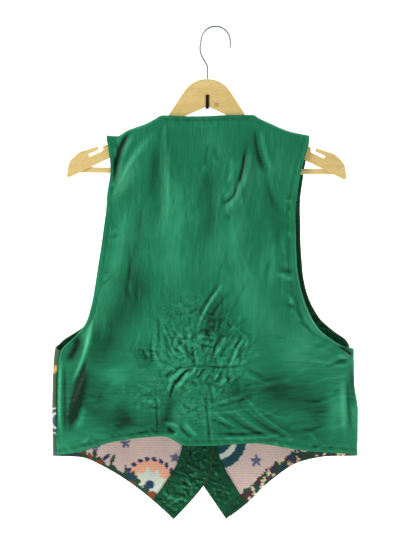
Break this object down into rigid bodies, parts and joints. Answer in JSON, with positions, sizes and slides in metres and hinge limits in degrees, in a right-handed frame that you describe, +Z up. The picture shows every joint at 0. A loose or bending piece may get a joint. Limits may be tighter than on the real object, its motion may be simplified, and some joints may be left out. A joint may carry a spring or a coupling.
{
  "type": "waistcoat on a clothes hanger",
  "caption": "Buttoned waistcoat with woven tapestry fronts ending in points and a green satin back, hanging on a flat wooden hanger with a steel hook.",
  "frame": {"origin": "inside of the hook's crown, where a rail carries it", "axes": "+Z up, X across the shoulders, the waistcoat's back faces -Y and its buttoned fronts face +Y"},
  "size_m": [0.4862, 0.0754, 0.787],
  "materials": {
    "satin": "soft sheen, slubby and creased",
    "satin_facing": "soft sheen",
    "tapestry": "matt figured weave",
    "button": "satin polish",
    "hanger_wood": "clear satin lacquer",
    "hook_steel": "bright drawn wire",
    "clip_black": "black coated"
  },
  "bodies": {
    "root": {"armhole_facing_left": "satin_facing", "armhole_facing_right": "satin_facing", "back": "satin", "button_1": "button", "button_2": "button", "button_3": "button", "button_4": "button", "button_5": "button", "facing_left": "satin_facing", "facing_right": "satin_facing", "front_left": "tapestry", "front_right": "tapestry", "hanger_bar": "hanger_wood", "hanger_body": "hanger_wood", "hook": "hook_steel", "hook_clip": "clip_black"}
  },
  "joints": []
}
